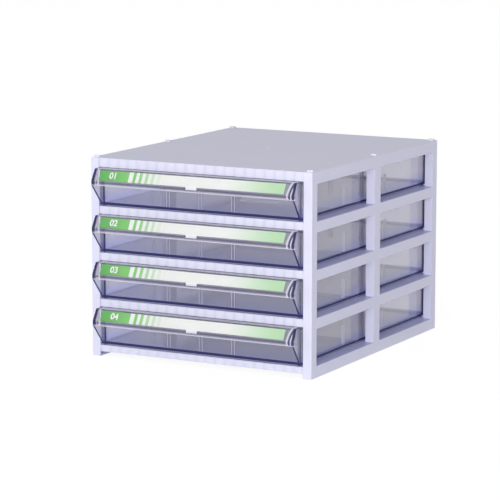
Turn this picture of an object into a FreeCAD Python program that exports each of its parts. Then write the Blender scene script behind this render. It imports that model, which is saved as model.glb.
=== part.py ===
import FreeCAD, Part
import Sketcher
import os

# Parts drawer box: two moulded side frames carry a top panel, three shelves and a base panel, and
# four clear drawers slide out at the front. Sizes are millimetres. The origin is under the middle
# of the whole box, +Z is up and the drawers open towards -Y.

SIZES = {
    # Side frames
    "cabinet_width": 270,
    "cabinet_depth": 320,
    "ground_gap": 5.3,
    "post_width": 10,
    "front_post_depth": 12,
    "middle_post_depth": 15,
    "rear_post_depth": 12,
    "window_height": 40,
    "side_skin": 2.4,
    "side_web": 2,
    "frame_edge_round": 1,
    # Tiers
    "tier_count": 4,
    "opening_height": 43,
    "shelf_rail_height": 8.5,
    "top_rail_height": 10,
    "base_rail_height": 7.2,
    "plate_thickness": 2.5,
    "flange_thickness": 2.2,
    "flute_count": 21,
    "flute_depth": 0.8,
    "stop_height": 6,
    "stop_thickness": 2.5,
    "tab_reach": 5,
    "tab_clearance": 0.3,
    "gate_mark_radius": 1.4,
    "gate_mark_height": 0.5,
    # Stacking pegs
    "peg_width": 7,
    "peg_depth": 4.4,
    "peg_height": 1.8,
    "peg_round": 0.9,
    "peg_stem_radius": 1.5,
    "peg_clearance": 0.1,
    "socket_clearance": 0.4,
    # Drawer tub
    "running_clearance": 0.3,
    "drawer_inset": 1.3,
    "tub_length": 314.6,
    "tub_side_gap": 4,
    "tub_height": 40.7,
    "tub_wall": 2,
    "tub_floor": 2,
    "tub_corner_round": 3,
    "runner_height": 1.6,
    "rim_thickness": 1.5,
    "rim_side_gap": 1.5,
    "fascia_side_gap": 1.2,
    "rib_width": 1.2,
    "rib_depth": 1.4,
    "rib_height": 22,
    "rib_slot": 2.4,
    # Drawer pull
    "pull_reach": 18.2,
    "pull_wall": 2,
    "pull_brow_reach": 11.3,
    "pull_lip_height": 5.3,
    "pull_lip_underside": 25,
    "cheek_foot_reach": 1.7,
    "cheek_foot_height": 4.1,
    "cheek_root_gap": 3,
    "cheek_tip_gap": 1.6,
    "pull_edge_round": 0.7,
    "pull_corner_round": 5,
    # Label card and its clear cover
    "label_length": 225,
    "label_shift": 2,
    "label_height": 11.9,
    "label_top_margin": 1.4,
    "card_thickness": 0.4,
    "cover_thickness": 0.6,
    "label_clearance": 0.3,
    "layer_gap": 0.05,
    "card_tab_width": 13.4,
    "card_tab_drop": 2.6,
}

HALF_OPENING = "(Sizes.cabinet_width / 2 - Sizes.post_width)"
OPENING_WIDTH = "(2 * " + HALF_OPENING + ")"
FRONT_PLANE = "((Sizes.pull_reach - Sizes.cabinet_depth) / 2)"
TIER_PITCH = "(Sizes.opening_height + Sizes.shelf_rail_height)"
FIRST_FLOOR = "(Sizes.ground_gap + Sizes.base_rail_height)"
TOP_OPENING_END = "(" + FIRST_FLOOR + " + Sizes.tier_count * " + TIER_PITCH + " - Sizes.shelf_rail_height)"
CABINET_HEIGHT = "(" + TOP_OPENING_END + " + Sizes.top_rail_height)"
POSTS_DEPTH = "(Sizes.front_post_depth + Sizes.middle_post_depth + Sizes.rear_post_depth)"
WINDOW_LENGTH = "((Sizes.cabinet_depth - " + POSTS_DEPTH + ") / 2)"
MIDDLE_POST_START = "(Sizes.front_post_depth + " + WINDOW_LENGTH + ")"
REAR_WINDOW_START = "(" + MIDDLE_POST_START + " + Sizes.middle_post_depth)"
REAR_POST_START = "(Sizes.cabinet_depth - Sizes.rear_post_depth)"
POSTS = (
    ("0", "Sizes.front_post_depth"),
    (MIDDLE_POST_START, "Sizes.middle_post_depth"),
    (REAR_POST_START, "Sizes.rear_post_depth"),
)
WINDOW_STARTS = ("Sizes.front_post_depth", REAR_WINDOW_START)

FLUTE_PITCH = "(" + OPENING_WIDTH + " / Sizes.flute_count)"
FLUTE_RADIUS = "(" + FLUTE_PITCH + "^2 / (8 * Sizes.flute_depth) + Sizes.flute_depth / 2)"
STOP_START = "(Sizes.drawer_inset + Sizes.tub_length + Sizes.running_clearance)"

TUB_HALF_WIDTH = "(" + HALF_OPENING + " - Sizes.tub_side_gap)"
TUB_HALF_LENGTH = "(Sizes.tub_length / 2)"
INNER_HALF_WIDTH = "(" + TUB_HALF_WIDTH + " - Sizes.tub_wall)"
INNER_HALF_LENGTH = "(" + TUB_HALF_LENGTH + " - Sizes.tub_wall)"
INNER_LENGTH = "(2 * " + INNER_HALF_LENGTH + ")"
FLOOR_UNDERSIDE = "(Sizes.running_clearance + Sizes.runner_height)"
FLOOR_TOP = "(" + FLOOR_UNDERSIDE + " + Sizes.tub_floor)"
TUB_TOP = "(Sizes.running_clearance + Sizes.tub_height)"
FASCIA_TOP = "(Sizes.opening_height - Sizes.running_clearance)"
RIB_SPREAD = "((Sizes.rib_slot + Sizes.rib_width) / 2)"

BROW_REACH = "Sizes.pull_brow_reach"
LIP_TOP = "(Sizes.pull_lip_underside + Sizes.pull_lip_height)"
SLOPE_RUN = "(Sizes.pull_reach - " + BROW_REACH + ")"
SLOPE_DROP = "(" + FASCIA_TOP + " - " + LIP_TOP + ")"
SLOPE_LENGTH = "sqrt(" + SLOPE_RUN + "^2 + " + SLOPE_DROP + "^2)"
SLOPE_RUN_SHARE = "(" + SLOPE_RUN + " / " + SLOPE_LENGTH + ")"
SLOPE_DROP_SHARE = "(" + SLOPE_DROP + " / " + SLOPE_LENGTH + ")"
LABEL_END = "(Sizes.label_top_margin + Sizes.label_height)"
CARD_TOP = "(Sizes.cover_thickness + Sizes.layer_gap)"
CARD_BOTTOM = "(" + CARD_TOP + " + Sizes.card_thickness)"
RECESS_DEPTH = "(" + CARD_BOTTOM + " + Sizes.layer_gap)"
CHEEK_ROOT = "(" + HALF_OPENING + " - Sizes.cheek_root_gap)"
CHEEK_TIP = "(" + HALF_OPENING + " - Sizes.cheek_tip_gap)"
CUT_MARGIN = "2"

doc = FreeCAD.newDocument("PartsDrawerBox")
sheet = doc.addObject("Spreadsheet::Sheet", "Sizes")
for row, (alias, number) in enumerate(SIZES.items(), start=1):
    sheet.set(f"A{row}", alias)
    sheet.set(f"B{row}", str(number))
    sheet.setAlias(f"B{row}", alias)
doc.recompute()


def value(expression):
    """Number that an expression on the sheet stands for."""
    return float(sheet.evalExpression(expression))


def minus(expression):
    return "(-" + expression + ")"


def total(*expressions):
    return "(" + " + ".join(expressions) + ")"


def difference(first, second):
    return "(" + first + " - " + second + ")"


def new_body(label, across="0", along=FRONT_PLANE, height="0"):
    """Body whose own frame stands at a place that follows the sheet."""
    body = doc.addObject("PartDesign::Body", label)
    body.Label = label
    body.setExpression("Placement.Base.x", across)
    body.setExpression("Placement.Base.y", along)
    body.setExpression("Placement.Base.z", height)
    return body


def new_sketch(body, name, plane, offset="0"):
    """Sketch on one of the body's origin planes, moved along that plane's normal."""
    support = next(item for item in body.Origin.OriginFeatures if item.Role == plane)
    sketch = body.newObject("Sketcher::SketchObject", name)
    sketch.AttachmentSupport = [(support, "")]
    sketch.MapMode = "FlatFace"
    sketch.setExpression("AttachmentOffset.Base.z", offset)
    return sketch


def pin_point(sketch, geometry, end, place):
    """Hold one end of a line or arc at two distances from the sketch's origin."""
    for kind, expression in zip(("DistanceX", "DistanceY"), place):
        constraint = Sketcher.Constraint(kind, -1, 1, geometry, end, value(expression))
        index = sketch.addConstraint(constraint)
        sketch.setExpression(f"Constraints[{index}]", expression)


def draw_polygon(sketch, corners):
    """Closed outline of straight edges, each corner held by its own pair of expressions."""
    first = sketch.GeometryCount
    points = [FreeCAD.Vector(value(x), value(y), 0) for x, y in corners]
    count = len(points)
    edges = [Part.LineSegment(points[i], points[(i + 1) % count]) for i in range(count)]
    sketch.addGeometry(edges, False)
    joins = [
        Sketcher.Constraint("Coincident", first + i, 2, first + (i + 1) % count, 1)
        for i in range(count)
    ]
    sketch.addConstraint(joins)
    for i, corner in enumerate(corners):
        pin_point(sketch, first + i, 1, corner)


def draw_rectangle(sketch, left, bottom, width, height):
    right = total(left, width)
    top = total(bottom, height)
    draw_polygon(sketch, [(left, bottom), (right, bottom), (right, top), (left, top)])


def draw_centred_rectangle(sketch, half_width, bottom, height):
    draw_rectangle(sketch, minus(half_width), bottom, "(2 * " + half_width + ")", height)


def pad(body, sketch, length, reverse=False):
    """Add material from a sketch, along its normal or against it."""
    feature = body.newObject("PartDesign::Pad", sketch.Name + "_pad")
    feature.Profile = sketch
    feature.setExpression("Length", length)
    feature.Reversed = reverse
    doc.recompute()
    return feature


def pocket(body, sketch, length, reverse=False):
    """Cut material behind a sketch, or in front of it when reversed."""
    before = body.Shape.Volume
    feature = body.newObject("PartDesign::Pocket", sketch.Name + "_cut")
    feature.Profile = sketch
    feature.setExpression("Length", length)
    feature.Reversed = reverse
    doc.recompute()
    if feature.Shape.isNull() or feature.Shape.Volume > before - 0.001:
        raise RuntimeError(feature.Name + " cuts nothing")
    return feature


def repeat(body, feature, sketch, axis, length, count):
    """Repeat a feature in a row along one of its sketch's axes."""
    pattern = body.newObject("PartDesign::LinearPattern", feature.Name + "_row")
    pattern.Originals = [feature]
    pattern.Direction = (sketch, [axis])
    pattern.setExpression("Length", length)
    pattern.setExpression("Occurrences", count)
    body.Tip = pattern
    doc.recompute()
    return pattern


def round_edges(body, feature, radius, wanted):
    """Fillet the straight edges of a feature whose two ends pass a test."""
    names = []
    for index, edge in enumerate(feature.Shape.Edges, start=1):
        ends = [vertex.Point for vertex in edge.Vertexes]
        if len(ends) == 2 and wanted(ends[0], ends[1]):
            names.append(f"Edge{index}")
    fillet = body.newObject("PartDesign::Fillet", feature.Name + "_round")
    fillet.Base = (feature, names)
    fillet.setExpression("Radius", radius)
    doc.recompute()
    if not names or fillet.Shape.isNull():
        raise RuntimeError(fillet.Name + " rounds nothing")
    return fillet


def near(first, second):
    return abs(first - second) < 0.001


def make_side_frame():
    """Right side frame: an open grid of posts and rails, cored from its inner face."""
    body = new_body("right_side_frame", across=HALF_OPENING)
    slab = new_sketch(body, "side_slab", "YZ_Plane")
    draw_rectangle(slab, "0", "0", "Sizes.cabinet_depth", CABINET_HEIGHT)
    slab_pad = pad(body, slab, "Sizes.post_width")

    depth = value("Sizes.cabinet_depth")
    height = value(CABINET_HEIGHT)
    outer = value("Sizes.post_width")

    def outlines_face(start, end):
        upright = near(start.y, end.y) and (near(start.y, 0) or near(start.y, depth))
        level = near(start.z, height) and near(end.z, height)
        return near(start.x, outer) and near(end.x, outer) and (upright or level)

    round_edges(body, slab_pad, "Sizes.frame_edge_round", outlines_face)

    windows = new_sketch(body, "side_windows", "YZ_Plane")
    for start in WINDOW_STARTS:
        draw_rectangle(windows, start, FIRST_FLOOR, WINDOW_LENGTH, "Sizes.window_height")
    window_cut = pocket(body, windows, "Sizes.post_width", reverse=True)
    rows = "Sizes.tier_count"
    repeat(body, window_cut, windows, "V_Axis", "((" + rows + " - 1) * " + TIER_PITCH + ")", rows)

    core_depth = "(Sizes.post_width - Sizes.side_skin)"
    post_cores = new_sketch(body, "side_post_cores", "YZ_Plane")
    for start, post_depth in POSTS:
        core_start = total(start, "Sizes.side_web")
        core_width = "(" + post_depth + " - 2 * Sizes.side_web)"
        draw_rectangle(post_cores, core_start, FIRST_FLOOR, core_width, "Sizes.window_height")
    post_cut = pocket(body, post_cores, core_depth, reverse=True)
    repeat(body, post_cut, post_cores, "V_Axis", "((" + rows + " - 1) * " + TIER_PITCH + ")", rows)

    window_end = total(FIRST_FLOOR, "Sizes.window_height")
    top_window_end = total(window_end, "(" + rows + " - 1) * " + TIER_PITCH)
    rails = (
        ("side_base_cores", "0", FIRST_FLOOR),
        ("side_rail_cores", window_end, total(FIRST_FLOOR, TIER_PITCH)),
        ("side_top_cores", top_window_end, CABINET_HEIGHT),
    )
    for name, bottom, top in rails:
        cores = new_sketch(body, name, "YZ_Plane")
        core_bottom = total(bottom, "Sizes.side_web")
        core_height = "(" + top + " - " + bottom + " - 2 * Sizes.side_web)"
        for start, post_depth in POSTS:
            core_width = "(" + post_depth + " - 2 * Sizes.side_web)"
            draw_rectangle(cores, total(start, "Sizes.side_web"), core_bottom, core_width, core_height)
        for start in WINDOW_STARTS:
            draw_rectangle(cores, start, core_bottom, WINDOW_LENGTH, core_height)
        cut = pocket(body, cores, core_depth, reverse=True)
        if name == "side_rail_cores":
            repeats = "(" + rows + " - 1)"
            repeat(body, cut, cores, "V_Axis", "((" + rows + " - 2) * " + TIER_PITCH + ")", repeats)

    sockets = new_sketch(body, "stacking_sockets", "XY_Plane")
    stems = new_sketch(body, "peg_stem_holes", "XY_Plane", CABINET_HEIGHT)
    socket_width = "(Sizes.peg_width + Sizes.socket_clearance)"
    socket_depth = "(Sizes.peg_depth + Sizes.socket_clearance)"
    left = "((Sizes.post_width - " + socket_width + ") / 2)"
    for start, post_depth in POSTS:
        centre = total(start, post_depth + " / 2")
        bottom = difference(centre, socket_depth + " / 2")
        draw_rectangle(sockets, left, bottom, socket_width, socket_depth)
        stem_radius = "Sizes.peg_stem_radius + Sizes.peg_clearance"
        draw_circle(stems, ("Sizes.post_width / 2", centre), stem_radius)
    pocket(body, sockets, "Sizes.side_web", reverse=True)
    pocket(body, stems, "Sizes.side_web")
    return body


def draw_circle(sketch, centre, radius):
    """Circle held at its centre and by its radius."""
    index = sketch.GeometryCount
    point = FreeCAD.Vector(value(centre[0]), value(centre[1]), 0)
    sketch.addGeometry(Part.Circle(point, FreeCAD.Vector(0, 0, 1), value(radius)), False)
    pin_point(sketch, index, 3, centre)
    size = sketch.addConstraint(Sketcher.Constraint("Radius", index, value(radius)))
    sketch.setExpression(f"Constraints[{size}]", radius)


def make_tray(label, top_height, rail_height, has_stop):
    """Panel that spans the side frames: plate, rim, fluted front rail, end tabs and rear stop."""
    body = new_body(label, height=top_height)
    plate = new_sketch(body, label + "_plate", "XY_Plane")
    length = "(Sizes.cabinet_depth - Sizes.flute_depth)"
    draw_centred_rectangle(plate, HALF_OPENING, "Sizes.flute_depth", length)
    pad(body, plate, "Sizes.plate_thickness", reverse=True)

    rim = new_sketch(body, label + "_rim", "XY_Plane")
    draw_centred_rectangle(rim, HALF_OPENING, "Sizes.flute_depth", length)
    inner_half = difference(HALF_OPENING, "Sizes.flange_thickness")
    inner_length = "(" + length + " - 2 * Sizes.flange_thickness)"
    draw_centred_rectangle(rim, inner_half, "(Sizes.flute_depth + Sizes.flange_thickness)", inner_length)
    pad(body, rim, rail_height, reverse=True)

    flute = new_sketch(body, label + "_flute", "XY_Plane")
    draw_flute(flute)
    flute_pad = pad(body, flute, rail_height, reverse=True)
    row_length = "(" + OPENING_WIDTH + " - " + FLUTE_PITCH + ")"
    repeat(body, flute_pad, flute, "H_Axis", row_length, "Sizes.flute_count")

    tab_top = "(-Sizes.side_web - Sizes.tab_clearance)"
    tab_thickness = "(" + rail_height + " - Sizes.side_web - 2 * Sizes.tab_clearance)"
    tabs = new_sketch(body, label + "_tabs", "XY_Plane", tab_top)
    for start, post_depth in POSTS:
        margin = "(Sizes.side_web + Sizes.tab_clearance)"
        tab_start = total(start, margin)
        tab_width = "(" + post_depth + " - 2 * " + margin + ")"
        draw_rectangle(tabs, HALF_OPENING, tab_start, "Sizes.tab_reach", tab_width)
        left = minus(total(HALF_OPENING, "Sizes.tab_reach"))
        draw_rectangle(tabs, left, tab_start, "Sizes.tab_reach", tab_width)
    pad(body, tabs, tab_thickness, reverse=True)

    if has_stop:
        stop = new_sketch(body, label + "_stop", "XY_Plane")
        draw_centred_rectangle(stop, HALF_OPENING, STOP_START, "Sizes.stop_thickness")
        pad(body, stop, "Sizes.stop_height")
    return body


def draw_flute(sketch):
    """One convex flute at the left end of a front rail: an arc closed by its chord."""
    left = (minus(HALF_OPENING), "Sizes.flute_depth")
    right = (total(minus(HALF_OPENING), FLUTE_PITCH), "Sizes.flute_depth")
    start = FreeCAD.Vector(value(left[0]), value(left[1]), 0)
    end = FreeCAD.Vector(value(right[0]), value(right[1]), 0)
    crown = FreeCAD.Vector((start.x + end.x) / 2, 0, 0)
    sketch.addGeometry(Part.LineSegment(end, start), False)
    sketch.addGeometry(Part.Arc(start, crown, end), False)
    pin_point(sketch, 0, 1, right)
    pin_point(sketch, 0, 2, left)
    sketch.addConstraint(Sketcher.Constraint("Coincident", 1, 1, 0, 2))
    sketch.addConstraint(Sketcher.Constraint("Coincident", 1, 2, 0, 1))
    size = sketch.addConstraint(Sketcher.Constraint("Radius", 1, value(FLUTE_RADIUS)))
    sketch.setExpression(f"Constraints[{size}]", FLUTE_RADIUS)


def add_gate_mark(body):
    """Small round mark left by the moulding gate in the middle of the top panel."""
    mark = new_sketch(body, "gate_mark", "XY_Plane")
    draw_circle(mark, ("0", "Sizes.cabinet_depth / 2"), "Sizes.gate_mark_radius")
    pad(body, mark, "Sizes.gate_mark_height")


def make_pegs():
    """Six stacking pegs, pressed into the post tops through their stems."""
    body_parts = []
    for side in (1, -1):
        for number, (start, post_depth) in enumerate(POSTS, start=1):
            name = ("right" if side > 0 else "left") + f"_peg_{number}"
            centre = total(FRONT_PLANE, start, post_depth + " / 2")
            across = f"({side} * (Sizes.cabinet_width - Sizes.post_width) / 2)"
            head = doc.addObject("Part::Box", name + "_head")
            head.setExpression("Length", "Sizes.peg_width")
            head.setExpression("Width", "Sizes.peg_depth")
            head.setExpression("Height", "Sizes.peg_height")
            head.setExpression("Placement.Base.x", difference(across, "Sizes.peg_width / 2"))
            head.setExpression("Placement.Base.y", difference(centre, "Sizes.peg_depth / 2"))
            head.setExpression("Placement.Base.z", CABINET_HEIGHT)
            doc.recompute()
            softened = doc.addObject("Part::Fillet", name + "_softened")
            softened.Base = head
            edges = []
            for index, edge in enumerate(head.Shape.Edges, start=1):
                ends = [vertex.Point for vertex in edge.Vertexes]
                if near(ends[0].x, ends[1].x) and near(ends[0].y, ends[1].y):
                    edges.append((index, value("Sizes.peg_round"), value("Sizes.peg_round")))
            softened.Edges = edges
            stem = doc.addObject("Part::Cylinder", name + "_stem")
            stem.setExpression("Radius", "Sizes.peg_stem_radius")
            stem.setExpression("Height", "Sizes.side_web")
            stem.setExpression("Placement.Base.x", across)
            stem.setExpression("Placement.Base.y", centre)
            stem.setExpression("Placement.Base.z", difference(CABINET_HEIGHT, "Sizes.side_web"))
            peg = doc.addObject("Part::Fuse", name)
            peg.Base = softened
            peg.Tool = stem
            body_parts.append(peg)
    pegs = doc.addObject("Part::Compound", "stacking_pegs")
    pegs.Label = "stacking_pegs"
    pegs.Links = body_parts
    doc.recompute()
    return pegs


def at_reach(reach):
    """Place along Y, in a drawer's own frame, of a point that far in front of the cabinet."""
    return "(-" + TUB_HALF_LENGTH + " - Sizes.drawer_inset - " + reach + ")"


def on_slope(distance, depth):
    """Point that lies so far down the label slope from its brow, and so deep under its face."""
    reach = total(BROW_REACH, SLOPE_RUN_SHARE + " * " + distance, "-" + SLOPE_DROP_SHARE + " * " + depth)
    fall = total(SLOPE_DROP_SHARE + " * " + distance, SLOPE_RUN_SHARE + " * " + depth)
    return at_reach(reach), difference(FASCIA_TOP, fall)


def lip_corner(depth):
    """Corner between a layer that deep under the slope and one that deep behind the lip."""
    along_slope = "(" + SLOPE_RUN + " - " + depth + " + " + SLOPE_DROP_SHARE + " * " + depth + ")"
    return on_slope("(" + along_slope + " / " + SLOPE_RUN_SHARE + ")", depth)


def brow_corner(depth):
    """Corner between a layer that deep under the slope and one that deep under the brow."""
    along_slope = "(" + depth + " * (1 - " + SLOPE_RUN_SHARE + "))"
    return on_slope("(" + along_slope + " / " + SLOPE_DROP_SHARE + ")", depth)


def slope_strip(start, end, outer_depth, inner_depth):
    """Outline of a flat layer on the label slope."""
    return [
        on_slope(start, outer_depth),
        on_slope(end, outer_depth),
        on_slope(end, inner_depth),
        on_slope(start, inner_depth),
    ]


def pad_profile(body, name, corners, half_width, shift="0"):
    """Pad an outline seen from the side over the drawer's width, its middle shifted to the left."""
    sketch = new_sketch(body, name, "YZ_Plane", minus(total(half_width, shift)))
    draw_polygon(sketch, corners)
    return pad(body, sketch, "(2 * " + half_width + ")")


def cut_profile(body, name, outlines, half_width, shift="0"):
    """Cut outlines seen from the side over the drawer's width, their middle shifted to the left."""
    sketch = new_sketch(body, name, "YZ_Plane", minus(total(half_width, shift)))
    for corners in outlines:
        draw_polygon(sketch, corners)
    return pocket(body, sketch, "(2 * " + half_width + ")", reverse=True)


def drawer_place(number):
    """Place of a drawer's own frame: the middle of its tub, on the floor of its opening."""
    return {
        "along": total(FRONT_PLANE, "Sizes.drawer_inset", TUB_HALF_LENGTH),
        "height": total(FIRST_FLOOR, f"(Sizes.tier_count - {number}) * " + TIER_PITCH),
    }


def add_tub(body, tag):
    """Open tub on a low runner, with a guiding rim and a fascia that fills the opening."""
    block = new_sketch(body, tag + "_tub", "XY_Plane", "Sizes.running_clearance")
    draw_centred_rectangle(block, TUB_HALF_WIDTH, minus(TUB_HALF_LENGTH), "Sizes.tub_length")
    block_pad = pad(body, block, "Sizes.tub_height")

    def rear_corners(rear):
        def upright(start, end):
            return near(start.x, end.x) and near(start.y, rear) and near(end.y, rear)
        return upright

    round_edges(body, block_pad, "Sizes.tub_corner_round", rear_corners(value(TUB_HALF_LENGTH)))

    rim = new_sketch(body, tag + "_rim", "XY_Plane", TUB_TOP)
    rim_half = difference(HALF_OPENING, "Sizes.rim_side_gap")
    rim_length = difference("Sizes.tub_length", "Sizes.tub_corner_round")
    draw_centred_rectangle(rim, rim_half, minus(TUB_HALF_LENGTH), rim_length)
    pad(body, rim, "Sizes.rim_thickness", reverse=True)

    fascia = new_sketch(body, tag + "_fascia", "XY_Plane", "Sizes.running_clearance")
    fascia_half = difference(HALF_OPENING, "Sizes.fascia_side_gap")
    draw_centred_rectangle(fascia, fascia_half, minus(TUB_HALF_LENGTH), "Sizes.tub_wall")
    pad(body, fascia, difference(FASCIA_TOP, "Sizes.running_clearance"))

    inside = new_sketch(body, tag + "_inside", "XY_Plane", TUB_TOP)
    draw_centred_rectangle(inside, INNER_HALF_WIDTH, minus(INNER_HALF_LENGTH), INNER_LENGTH)
    inside_cut = pocket(body, inside, difference(TUB_TOP, FLOOR_TOP))
    inner_round = difference("Sizes.tub_corner_round", "Sizes.tub_wall")
    round_edges(body, inside_cut, inner_round, rear_corners(value(INNER_HALF_LENGTH)))

    underside = new_sketch(body, tag + "_underside", "XY_Plane", "Sizes.running_clearance")
    draw_centred_rectangle(underside, INNER_HALF_WIDTH, minus(INNER_HALF_LENGTH), INNER_LENGTH)
    pocket(body, underside, "Sizes.runner_height", reverse=True)


def add_divider_slots(body, tag):
    """Pairs of upright ribs on the tub's walls, each pair a slot for a divider plate."""
    ribs = new_sketch(body, tag + "_ribs", "XY_Plane", FLOOR_TOP)
    third_across = "(" + INNER_HALF_WIDTH + " / 3)"
    third_along = "(" + INNER_HALF_LENGTH + " / 3)"
    far_wall = difference(INNER_HALF_LENGTH, "Sizes.rib_depth")
    right_wall = difference(INNER_HALF_WIDTH, "Sizes.rib_depth")
    for spread in (minus(RIB_SPREAD), RIB_SPREAD):
        edge = total(spread, "-Sizes.rib_width / 2")
        for centre in (minus(third_across), "0", third_across):
            left = total(centre, edge)
            for wall in (minus(INNER_HALF_LENGTH), far_wall):
                draw_rectangle(ribs, left, wall, "Sizes.rib_width", "Sizes.rib_depth")
        for centre in (minus(third_along), third_along):
            bottom = total(centre, edge)
            for wall in (minus(INNER_HALF_WIDTH), right_wall):
                draw_rectangle(ribs, wall, bottom, "Sizes.rib_depth", "Sizes.rib_width")
    pad(body, ribs, "Sizes.rib_height")


def draw_pull_corner(sketch, side):
    """Rounded inner corner between the lip and one cheek, seen from above."""
    cheek_face = difference(CHEEK_TIP, "Sizes.pull_wall")
    cheek_middle = difference(CHEEK_TIP, "Sizes.pull_wall / 2")
    lip_face = at_reach(difference("Sizes.pull_reach", "Sizes.pull_wall"))
    lip_middle = at_reach(difference("Sizes.pull_reach", "Sizes.pull_wall / 2"))
    round_across = difference(cheek_face, "Sizes.pull_corner_round")
    round_along = total(lip_face, "Sizes.pull_corner_round")
    corners = [
        (round_across, lip_face),
        (round_across, lip_middle),
        (cheek_middle, lip_middle),
        (cheek_middle, round_along),
        (cheek_face, round_along),
    ]
    corners = [(f"({side} * {across})", along) for across, along in corners]
    points = [FreeCAD.Vector(value(across), value(along), 0) for across, along in corners]
    centre = FreeCAD.Vector(points[0].x, points[-1].y, 0)
    crown = centre + FreeCAD.Vector(side, -1, 0).normalize() * value("Sizes.pull_corner_round")

    first = sketch.GeometryCount
    last = len(points) - 1
    arc = first + last
    line_ends = {0: (first, 1), last: (arc - 1, 2)}
    turn = (0, last) if side > 0 else (last, 0)
    edges = [Part.LineSegment(points[i], points[i + 1]) for i in range(last)]
    edges.append(Part.Arc(points[turn[0]], crown, points[turn[1]]))
    sketch.addGeometry(edges, False)
    for i in range(1, last):
        sketch.addConstraint(Sketcher.Constraint("Coincident", first + i - 1, 2, first + i, 1))
    for arc_end, corner in zip((1, 2), turn):
        sketch.addConstraint(Sketcher.Constraint("Coincident", arc, arc_end, *line_ends[corner]))
    for i in range(last):
        pin_point(sketch, first + i, 1, corners[i])
    pin_point(sketch, arc - 1, 2, corners[last])
    size = sketch.addConstraint(Sketcher.Constraint("Radius", arc, value("Sizes.pull_corner_round")))
    sketch.setExpression(f"Constraints[{size}]", "Sizes.pull_corner_round")


def add_pull(body, tag):
    """Hooded pull: brow, label slope and lip between two flared cheeks, open underneath."""
    root = minus(TUB_HALF_LENGTH)
    tip = at_reach("Sizes.pull_reach")
    cheeks = new_sketch(body, tag + "_cheeks", "XY_Plane", "Sizes.cheek_foot_height")
    inner_root = difference(CHEEK_ROOT, "Sizes.pull_wall")
    inner_tip = difference(CHEEK_TIP, "Sizes.pull_wall")
    plan = [(inner_root, root), (CHEEK_ROOT, root), (CHEEK_TIP, tip), (inner_tip, tip)]
    draw_polygon(cheeks, plan)
    draw_polygon(cheeks, [(minus(across), along) for across, along in plan])
    pad(body, cheeks, difference(FASCIA_TOP, "Sizes.cheek_foot_height"))

    corners = new_sketch(body, tag + "_pull_corners", "XY_Plane", "Sizes.pull_lip_underside")
    for side in (1, -1):
        draw_pull_corner(corners, side)
    pad(body, corners, difference(FASCIA_TOP, "Sizes.pull_lip_underside"))

    brow = at_reach(BROW_REACH)
    foot = at_reach("Sizes.cheek_foot_reach")
    beyond = at_reach("(Sizes.pull_reach + " + CUT_MARGIN + ")")
    above = total(FASCIA_TOP, CUT_MARGIN)
    below = difference("Sizes.cheek_foot_height", CUT_MARGIN)
    underside = "Sizes.pull_lip_underside"
    over_slope = [(brow, FASCIA_TOP), (tip, LIP_TOP), (beyond, LIP_TOP), (beyond, above), (brow, above)]
    under_cheek = [
        (foot, "Sizes.cheek_foot_height"),
        (tip, underside),
        (beyond, underside),
        (beyond, below),
        (foot, below),
    ]
    cut_profile(body, tag + "_cheek_trim", [over_slope, under_cheek], total(CHEEK_TIP, CUT_MARGIN))

    hood = [
        (root, FASCIA_TOP),
        (brow, FASCIA_TOP),
        (tip, LIP_TOP),
        (tip, underside),
        (at_reach("(Sizes.pull_reach - Sizes.pull_wall)"), underside),
        lip_corner("Sizes.pull_wall"),
        brow_corner("Sizes.pull_wall"),
        (root, difference(FASCIA_TOP, "Sizes.pull_wall")),
    ]
    hood_half = "((" + CHEEK_ROOT + " + " + inner_tip + ") / 2)"
    hood_pad = pad_profile(body, tag + "_hood", hood, hood_half)

    folds = [(value(along), value(height)) for along, height in ((brow, FASCIA_TOP), (tip, LIP_TOP))]

    def front_edges(start, end):
        for along, height in folds:
            if all(near(point.y, along) and near(point.z, height) for point in (start, end)):
                return True
        return False

    round_edges(body, hood_pad, "Sizes.pull_edge_round", front_edges)


def add_label_recess(body, tag):
    """Shallow seat for the label on the slope, with a notch in the lip for the card's tab."""
    top = difference("Sizes.label_top_margin", "Sizes.label_clearance")
    end = total(LABEL_END, "Sizes.label_clearance")
    seat = slope_strip(top, end, minus(CUT_MARGIN), RECESS_DEPTH)
    seat_half = total("Sizes.label_length / 2", "Sizes.label_clearance")
    cut_profile(body, tag + "_label_seat", [seat], seat_half, "Sizes.label_shift")

    notch_floor = difference(LIP_TOP, total("Sizes.card_tab_drop", "Sizes.label_clearance"))
    notch = [
        on_slope(LABEL_END, RECESS_DEPTH),
        lip_corner(RECESS_DEPTH),
        (at_reach(difference("Sizes.pull_reach", RECESS_DEPTH)), notch_floor),
        (at_reach(total("Sizes.pull_reach", CUT_MARGIN)), notch_floor),
        on_slope(LABEL_END, minus(CUT_MARGIN)),
    ]
    notch_half = total("Sizes.card_tab_width / 2", "Sizes.label_clearance")
    cut_profile(body, tag + "_tab_notch", [notch], notch_half)


def make_drawer(number):
    """One clear drawer: tub, rim, fascia, hooded pull, label seat and divider slots."""
    tag = f"drawer_{number}"
    body = new_body(tag, **drawer_place(number))
    add_tub(body, tag)
    add_divider_slots(body, tag)
    add_pull(body, tag)
    add_label_recess(body, tag)
    return body


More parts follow.
